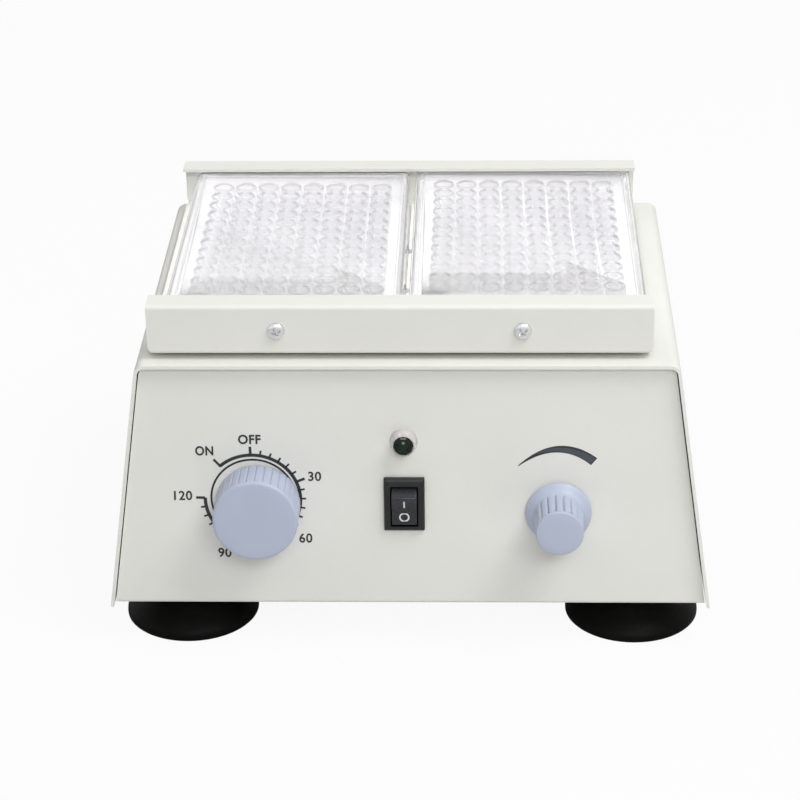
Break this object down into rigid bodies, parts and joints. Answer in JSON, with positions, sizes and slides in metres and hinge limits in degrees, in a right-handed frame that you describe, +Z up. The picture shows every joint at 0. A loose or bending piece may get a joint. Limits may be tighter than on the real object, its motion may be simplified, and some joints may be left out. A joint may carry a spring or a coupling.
{
  "type": "microplate shaker",
  "caption": "Bench shaker: low flared sheet-metal case on suction feet, with an orbiting tray for two lidded well plates, timer knob, speed knob, lamp and rocker switch.",
  "frame": {"origin": "on the surface it stands on, under the middle of its bounding box", "axes": "+X to the right as seen from the control panel, +Y to the rear, +Z up"},
  "size_m": [0.221, 0.1798, 0.1343],
  "materials": {
    "shell_paint": "fine textured powder coat",
    "steel_plate": "zinc plated",
    "screw_steel": "bright",
    "rubber_black": "matt",
    "knob_blue": "satin",
    "black_plastic": "semi gloss",
    "lamp_clear": "polished",
    "lamp_green": "polished",
    "clear_plastic": "clear polystyrene",
    "cast_metal": "painted",
    "alloy": "machined",
    "bronze": "sintered bronze",
    "board_green": "lacquered",
    "coil_tape": "tape",
    "spring_steel": "polished",
    "brass_pins": "plated"
  },
  "bodies": {
    "base": {"chassis": "shell_paint", "top_cover": "shell_paint", "cover_screws": "screw_steel", "foot_front_left": "rubber_black", "foot_front_right": "rubber_black", "foot_rear_left": "rubber_black", "foot_rear_right": "rubber_black", "foot_studs": "screw_steel", "foot_nuts": "screw_steel", "motor_plate": "steel_plate", "motor_plate_pillars": "alloy", "pillar_screws": "screw_steel", "motor_can": "cast_metal", "motor_plate_screws": "screw_steel", "idler_sleeves": "bronze", "idler_housings": "alloy", "timer_body": "steel_plate", "timer_screws": "screw_steel", "speed_control": "steel_plate", "speed_control_nut": "screw_steel", "switch_frame": "black_plastic", "lamp_bezel": "lamp_clear", "lamp_lens": "lamp_green", "lamp_nut": "black_plastic", "power_inlet": "black_plastic", "inlet_pins": "brass_pins", "inlet_screws": "screw_steel", "control_board": "board_green", "board_standoffs": "alloy", "board_screws": "screw_steel", "board_parts": "black_plastic", "fuse": "clear_plastic", "transformer_core": "steel_plate", "transformer_coil": "coil_tape", "transformer_screws": "screw_steel"},
    "rotor": {"motor_shaft": "screw_steel", "drive_crank": "steel_plate", "counterweight": "steel_plate"},
    "tray": {"tray": "shell_paint", "drive_bearing": "screw_steel", "tray_hub": "alloy", "tray_idler_hubs": "alloy", "tray_idler_bushes": "bronze", "tray_floor_screws": "screw_steel", "spring_screws": "screw_steel", "spring_nuts": "screw_steel", "plate_spring_left": "spring_steel", "plate_spring_right": "spring_steel"},
    "idler_rear": {"idler_rear_crank": "steel_plate"},
    "idler_left": {"idler_left_crank": "steel_plate"},
    "idler_right": {"idler_right_crank": "steel_plate"},
    "plate_left": {"microplate_left": "clear_plastic", "lid_left": "clear_plastic"},
    "plate_right": {"microplate_right": "clear_plastic", "lid_right": "clear_plastic"},
    "timer_dial": {"timer_knob": "knob_blue", "timer_shaft": "alloy"},
    "speed_dial": {"speed_knob": "knob_blue", "speed_shaft": "alloy"},
    "switch_rocker": {"rocker": "black_plastic"}
  },
  "joints": [
    {"name": "motor_spin", "type": "hinge", "parent": "base", "child": "rotor", "pos_m": [0, 0.00671, 0.0981], "axis": [0, 0, 1], "continuous": true},
    {"name": "tray_orbit", "type": "hinge", "parent": "rotor", "child": "tray", "pos_m": [-0.0025, 0.00671, 0.0981], "axis": [0, 0, 1], "continuous": true},
    {"name": "idler_rear_spin", "type": "hinge", "parent": "base", "child": "idler_rear", "pos_m": [0, 0.05371, 0.0981], "axis": [0, 0, 1], "continuous": true},
    {"name": "idler_left_spin", "type": "hinge", "parent": "base", "child": "idler_left", "pos_m": [-0.04, -0.02029, 0.0981], "axis": [0, 0, 1], "continuous": true},
    {"name": "idler_right_spin", "type": "hinge", "parent": "base", "child": "idler_right", "pos_m": [0.04, -0.02029, 0.0981], "axis": [0, 0, 1], "continuous": true},
    {"name": "left_plate_slide", "type": "slide", "parent": "tray", "child": "plate_left", "axis": [-1, 0, 0], "range_m": [0, 0.095]},
    {"name": "right_plate_slide", "type": "slide", "parent": "tray", "child": "plate_right", "axis": [1, 0, 0], "range_m": [0, 0.095]},
    {"name": "timer_turn", "type": "hinge", "parent": "base", "child": "timer_dial", "pos_m": [-0.0546, -0.07041, 0.0586], "axis": [0, 0.9977, -0.0671], "range_deg": [-40, 270]},
    {"name": "speed_turn", "type": "hinge", "parent": "base", "child": "speed_dial", "pos_m": [0.0546, -0.07065, 0.0551], "axis": [0, 0.9977, -0.0671], "range_deg": [0, 280]},
    {"name": "switch_rock", "type": "hinge", "parent": "base", "child": "switch_rocker", "pos_m": [-0.0014, -0.06942, 0.05843], "axis": [-1, 0, 0], "range_deg": [0, 26]}
  ],
  "couplings": [
    {"joint": "tray_orbit", "follows": "motor_spin", "ratio": -1},
    {"joint": "idler_rear_spin", "follows": "motor_spin", "ratio": 1},
    {"joint": "idler_left_spin", "follows": "motor_spin", "ratio": 1},
    {"joint": "idler_right_spin", "follows": "motor_spin", "ratio": 1}
  ]
}
